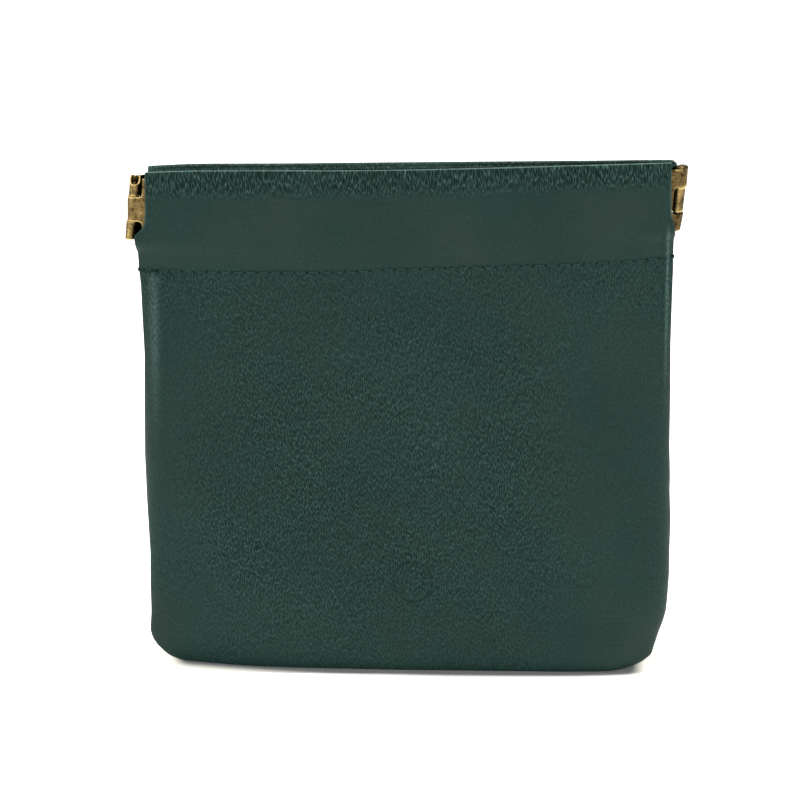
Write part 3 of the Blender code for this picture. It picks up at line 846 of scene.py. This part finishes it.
def addSeamEnd(name, hand):
    # The row's last stitch goes round the side seam: two turns of thread, half an ellipse from front to back.
    rings, (halfWide, halfDeep) = stitch["wrapRings"], stitch["wrapHalf"]
    angle = np.linspace(-stitch["wrapAngle"], stitch["wrapAngle"], rings)[:, None]
    radius = stitch["threadRadius"] * (1 - 0.3 * np.abs(angle / stitch["wrapAngle"]) ** 6)
    middle = halfWidth(pouch["rowHeight"], hand) - stitch["wrapInset"]
    x = hand * (middle + (halfWide + radius * np.cos(around)) * np.cos(angle))
    y = (halfDeep + radius * np.cos(around)) * np.sin(angle)
    z = stitchLine(hand * middle) + np.array(stitch["wrapHeights"])[:, None, None]
    z = z + radius * np.sin(around) + 0.1 * angle
    piece = addThread(name, len(stitch["wrapHeights"]), rings, x, y, z, y)
    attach(piece, "pouch")


for side, facing, end, hand in quarters:
    addStitches(side, facing, end, hand)
addSeamEnd("left_seam_stitch", -1)
addSeamEnd("right_seam_stitch", 1)
print("stitches made")

# The hinged strip ends
knuckle = {
    "sheet": 0.32,
    "joggle": 1.8,
    "middleHalf": 2.95,
    "gap": 0.2,
    "notchRound": 0.9,
    "wrap": 300.0,
    "lean": {"left": 0.088, "right": 0.125},
    "radius": {"front": 1.40, "back": 1.24},
    "notchStart": {"front_left": 61.4, "back_left": 62.2, "front_right": 61.95, "back_right": 62.2},
    "lowerGap": {"front_right": 0.30},
    # how far each leaf's rolls are bent out of line, from its foot to its head
    "bentHeights": (-7.5, -3.2, 3.2, 7.5),
    "bent": {
        "front_left": (-0.05, -0.05, -0.30, -0.30),
        "back_left": (-0.54, -0.45, -0.14, -0.10),
        "front_right": (-0.98, -0.70, -0.74, -0.94),
        "back_right": (-0.80, -0.78, -0.78, -0.80),
        "pin_left": (-0.30, -0.26, -0.22, -0.20),
    },
    "openSlant": 1.9,
    # how strong the painted highlight down the front of each leaf's rolls is, and how brown its coat is
    "frontSheen": {"front_left": 0.12, "back_left": 0.10, "front_right": 0.04, "back_right": 0.20},
    "brown": {"front_left": 0.0, "back_left": 0.0, "front_right": 0.34, "back_right": 0.0},
    # points round a roll, and shares of the outer and middle knuckles' heights at which they have rows of points
    "rollPoints": 60,
    "outerRows": (0, 0.04, 0.12, 0.35, 0.65, 0.88, 0.96, 1),
    "middleRows": (-0.97, -0.88, -0.6, -0.3, 0, 0.3, 0.6, 0.88, 0.97),
    "edgeRound": 0.08,
}

# The pins' turned outlines, as radius and height. They are thin inside the back knuckles, which turn about the true
# hinge line and not about their own lean.
pin = {
    "turns": 32,
    "left": [(0.22, -6.3), (0.30, -6.1), (0.30, 3.2), (0.46, 3.4), (0.46, 6.1), (0.42, 6.25), (0.28, 6.32),
             (0.02, 6.34)],
    "right": [(0.26, -6.3), (0.42, -6.1), (0.42, -3.4), (0.26, -3.2), (0.26, 3.2), (0.42, 3.4), (0.42, 7.2),
              (1.38, 7.22), (1.44, 7.28)]
             + [(1.44 * math.cos(a), 7.60 + 0.66 * math.sin(a)) for a in np.linspace(0, math.pi / 2 * 0.98, 11)],
}


def leaned(x, h, end, leaf):
    # The worn hinges lean: tops to the right, bottoms to the left, and each leaf is bent a little of its own.
    bent = np.interp(h, knuckle["bentHeights"], knuckle["bent"][leaf])
    return x + (knuckle["lean"][end] * h + bent) * smoothStep(58.5, 62.5, np.abs(x))


def stripPath(side):
    # Middle line seen from above as distance and depth: straight, eased in to the hinge line, rolled round the pin.
    roll = knuckle["radius"][side] - knuckle["sheet"] / 2
    start = spring["halfPinSpan"] - 0.6 - knuckle["joggle"]
    plane = spring["stripPlane"]
    straight = np.stack([np.linspace(spring["bendPlace"] + 0.15, start, 12)[:-1], np.full(11, plane)], 1)
    ease = np.linspace(0, 1, 24)
    slope = np.stack([start + knuckle["joggle"] * ease, plane + (roll - plane) * smoothStep(0, 1, ease)], 1)
    lead = np.stack([np.linspace(start + knuckle["joggle"], spring["halfPinSpan"], 5)[1:-1], np.full(3, roll)], 1)
    angle = np.radians(np.linspace(0, knuckle["wrap"], knuckle["rollPoints"]))
    rolled = np.stack([spring["halfPinSpan"] + roll * np.sin(angle), roll * np.cos(angle)], 1)
    return np.concatenate([straight, slope, lead, rolled])


def sideShadeAt(sideways):
    # Painted shade on the turned-away sides of rolls and pins, darker towards their left and right: none in
    # front, growing with 1 - (0.93 cos)^0.7 of the turn, where sideways is the turn's sine.
    turned = 1 - (0.93 * np.sqrt(np.clip(1 - sideways ** 2, 0, 1))) ** 0.7
    return 0.75 * smoothStep(0.20, 0.85, turned)


def addStripEnd(side, facing, end, hand):
    # A sheet on the path, cut into one middle knuckle or two outer ones with rounded corners at the cut.
    leaf, corner, top = side + "_" + end, knuckle["notchRound"], spring["stripHalfHeight"]
    single = (side == "front") == (end == "left")
    path = stripPath(side)
    run = lengthAlong(path)
    flat = len(path) - knuckle["rollPoints"]
    notchAt = np.interp(knuckle["notchStart"][leaf], path[:flat, 0], run[:flat])
    extra = notchAt + corner * (1 - np.cos(np.linspace(0, math.pi / 2, 9)))
    stations = np.unique(np.round(np.concatenate([run, extra]), 5))
    bite = np.sqrt(corner ** 2 - (corner - np.clip(stations - notchAt, 0, corner)) ** 2)
    if single:
        edge = knuckle["middleHalf"] + corner - bite
    else:
        edge = knuckle["middleHalf"] + knuckle["gap"] - corner + bite
    outerRows, middleRows = (np.array(knuckle[kind])[:, None] for kind in ("outerRows", "middleRows"))
    low = -top + (top - edge - knuckle["lowerGap"].get(leaf, 0)) * outerRows
    heights = np.concatenate([low, edge * middleRows, top - (top - edge) * outerRows[::-1]])
    rows, columns = heights.shape
    rolled = smoothStep(run[flat], run[flat] + 1.0, stations)
    x, y = (np.broadcast_to(np.interp(stations, run, path[:, axis]), heights.shape) * turned
            for axis, turned in ((0, hand), (1, facing)))
    fromAxis = x - hand * spring["halfPinSpan"]
    # pale rubbed rims: along the outer ends and along the cut between the knuckles
    rim = np.minimum(top - np.abs(heights), np.abs(np.abs(heights) - edge))
    rubbed = 0.95 * np.exp(-(rim / 0.17) ** 2) * smoothStep(notchAt - 0.3, notchAt + 0.2, stations)
    # painted highlight down the front of the rolls
    frontSheen = knuckle["frontSheen"][leaf] * np.exp(-((fromAxis + 0.05) / 0.45) ** 2)
    rubbed = np.maximum(rubbed, frontSheen * smoothStep(0.3, -0.3, y) * rolled)
    if leaf == "back_left":
        # the open top knuckle is cut lower in front, so that one looks into it
        cut = (knuckle["openSlant"] * smoothStep(0.9, -0.9, y) - 0.40) * rolled
        heights = heights - cut * np.clip((heights - 3.5) / 4.0, 0, 1)
    points = tilted(leaned(x, heights, end, leaf), y, heights).reshape(-1, 3)
    quads = sheetFaces(np.arange(rows * columns).reshape(rows, columns)).reshape(rows - 1, columns - 1, 4)
    level, first = np.arange(rows - 1)[:, None], len(outerRows) - 1
    between = (level >= first) & (level <= first + len(middleRows))
    quads = quads[~((stations[:-1] > notchAt - 1e-4) & (~between if single else between))]
    if hand * facing > 0:
        quads = quads[:, ::-1]
    used, renumbered = np.unique(quads, return_inverse=True)
    name = f"{side}_strip_{end}"
    piece = makePiece(name + "_sheet", points[used], [(renumbered.reshape(-1, 4), 0)], [brass])
    # painted shade on the back leaves' flat ends, deep between the knuckles; the browner leaves' coat rides on the
    # same mask
    grime = 0.92 * (side == "back") * smoothStep(run[flat] + 0.3, run[flat] - 0.3, stations)
    grime = np.broadcast_to(np.maximum(grime, knuckle["brown"][leaf]), heights.shape)
    # painted shade on the turned-away sides of the rolls
    coat = sideShadeAt(fromAxis / (knuckle["radius"][side] - knuckle["sheet"] / 2)) * rolled
    for kind, values in (("rubbed", rubbed), ("grime", grime), ("coat", coat)):
        setNumbers(piece, kind, values.ravel()[used])
    sheet = {"thickness": knuckle["sheet"] * mm, "offset": 0.0, "use_even_offset": True}
    edges = {"width": knuckle["edgeRound"] * mm, "segments": 2, "limit_method": "ANGLE",
             "angle_limit": math.radians(50), "harden_normals": True}
    for kind, settings in (("SOLIDIFY", sheet), ("BEVEL", edges)):
        modifier = piece.modifiers.new(kind.lower(), kind)
        for key, value in settings.items():
            setattr(modifier, key, value)
    bowWithStrip(piece, side, end, hand)
    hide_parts(name)


def addPin(end, hand):
    # A turned pin: radius and height pairs carried round the hinge line, closed at each end.
    leaf = "front_" + end
    angle = np.linspace(0, 2 * math.pi, pin["turns"], endpoint=False)
    radius, height = np.array(pin[end]).T[:, :, None]
    x = hand * spring["halfPinSpan"] + radius * np.cos(angle)
    y, h = radius * np.sin(angle), np.broadcast_to(height, x.shape)
    points = tilted(leaned(x, h, end, "pin_left" if end == "left" else leaf), y, h).reshape(-1, 3)
    quads, caps = tubeFaces(1, len(radius), pin["turns"])
    piece = makePiece(end + "_hinge_pin_turned", points, [(quads, 0)], [pinBrass], caps)
    # painted shade on the pin's turned-away sides
    setNumbers(piece, "coat", np.broadcast_to(sideShadeAt(np.cos(angle)), x.shape))
    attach(piece, leaf)
    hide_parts(end + "_hinge_pin")


for side, facing, end, hand in quarters:
    addStripEnd(side, facing, end, hand)
addPin("left", -1)
addPin("right", 1)

for side in ("front", "back"):
    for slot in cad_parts[side + "_strip_middle"].material_slots:
        slot.material = steel
print("hinges made")

# Floor, lights, camera
studio = {
    "floorReach": 4.0,  # metres
    "floorColour": (0.92, 0.92, 0.92, 1),
    "glowColour": (1.0, 0.97, 0.86, 1),
    "floorGlow": (0.0, 0.95),  # beside the pouch and away from it
    "glowFrom": (1.4, 5.4),
    # the dark bar under the pouch, in millimetres: half its width, where it is deepest, half its depth there, and
    # how much thinner it is at a span from there
    "barHalfWidth": 52.0,
    "barMiddle": 12.0,
    "barHalfDepth": 6.9,
    "barThinner": 5.9,
    "barSpan": 65.0,
    "worldLevel": 0.10,
    # place, width and height, power
    "lamps": {
        "front_light": ((0.0, -1.4, 0.25), (1.4, 0.3), 4.0),
        "back_light": ((0.0, 1.4, 0.25), (1.4, 0.3), 4.0),
        "top_light": ((0.0, 0.02, 2.6), (0.24, 0.12), 62.0),
        "left_light": ((-0.95, -0.62, 0.10), (0.20, 0.20), 4.0),
        "right_light": ((1.0, -0.45, 0.10), (0.12, 0.20), 3.8),
    },
    "lampAim": (0, 0, 0.06),
}


def addFloor():
    # White paper that glows for the camera like a burnt-out backdrop, but not close to the pouch.
    reach = studio["floorReach"]
    mesh = bpy.data.meshes.new("floor")
    mesh.from_pydata([(-reach, -reach, 0), (reach, -reach, 0), (reach, reach, 0), (-reach, reach, 0)], [],
                     [(0, 1, 2, 3)])
    floor = bpy.data.objects.new("floor", mesh)
    bpy.context.scene.collection.objects.link(floor)
    recipe = Recipe(bpy.data.materials.new("floor_paper"))
    recipe.tree.nodes.remove(recipe.shader)
    # distance from the pouch's footprint, a bar that is deepest right of its middle and thins towards the left
    place = recipe.apart(recipe.objectPlace())
    beside = recipe.math("SUBTRACT", recipe.math("ABSOLUTE", place["X"]), studio["barHalfWidth"] * mm)
    offset = recipe.math("SUBTRACT", place["X"], studio["barMiddle"] * mm)
    offset = recipe.math("DIVIDE", offset, studio["barSpan"] * mm)
    halfDepth = recipe.math("MULTIPLY_ADD", recipe.times(offset, offset), -studio["barThinner"] * mm,
                            studio["barHalfDepth"] * mm)
    before = recipe.math("SUBTRACT", recipe.math("ABSOLUTE", place["Y"]), halfDepth)
    away = recipe.length(recipe.math("MAXIMUM", beside, 0.0), recipe.math("MAXIMUM", before, 0.0))
    near, far = studio["glowFrom"]
    burn = recipe.remap(away, near * mm, far * mm, *studio["floorGlow"])
    matt = recipe.add("ShaderNodeBsdfDiffuse", {}, {"Color": studio["floorColour"]})
    glow = recipe.add("ShaderNodeEmission", {}, {"Color": studio["glowColour"],
                                                 "Strength": recipe.times(recipe.seenRays(), burn)})
    both = recipe.add("ShaderNodeAddShader", {}, {0: matt.outputs[0], 1: glow.outputs[0]})
    recipe.put(recipe.tree.nodes["Material Output"].inputs["Surface"], both.outputs[0])
    mesh.materials.append(recipe.owner)


def addLamp(name, place, size, power):
    lamp = bpy.data.lights.new(name, "AREA")
    lamp.shape = "RECTANGLE"
    lamp.size, lamp.size_y = size
    lamp.energy = power
    holder = bpy.data.objects.new(name, lamp)
    bpy.context.scene.collection.objects.link(holder)
    holder.location = place
    holder.rotation_euler = (Vector(studio["lampAim"]) - Vector(place)).to_track_quat("-Z", "Y").to_euler()


addFloor()
for name, settings in studio["lamps"].items():
    addLamp(name, *settings)

# a white world that the camera and gloss see whole, while things are lit by a part of it
bpy.context.scene.world = bpy.data.worlds.new("studio")
sky = Recipe(bpy.context.scene.world)
background = sky.tree.nodes["Background"].inputs
sky.put(background["Color"], (1, 1, 1, 1))
sky.put(background["Strength"], sky.linear(sky.seenRays(), 0.0, 1.0, studio["worldLevel"], 1.0))

azimuth, elevation = math.radians(camera["azimuth"]), math.radians(camera["elevation"])
away = Vector((math.sin(azimuth) * math.cos(elevation), -math.cos(azimuth) * math.cos(elevation), math.sin(elevation)))
eye = bpy.data.cameras.new("camera")
eye.lens = camera["lens"]
eye.sensor_width = 36.0
eye.shift_x = camera["shiftX"]
eye.shift_y = camera["shiftY"]
eye.clip_end = 20.0
holder = bpy.data.objects.new("camera", eye)
bpy.context.scene.collection.objects.link(holder)
holder.location = (Vector(camera["aim"]) + away * camera["distance"]) * mm
holder.rotation_euler = (-away).to_track_quat("-Z", "Y").to_euler()
bpy.context.scene.camera = holder
bpy.context.scene.view_settings.view_transform = "Standard"
print("studio made")
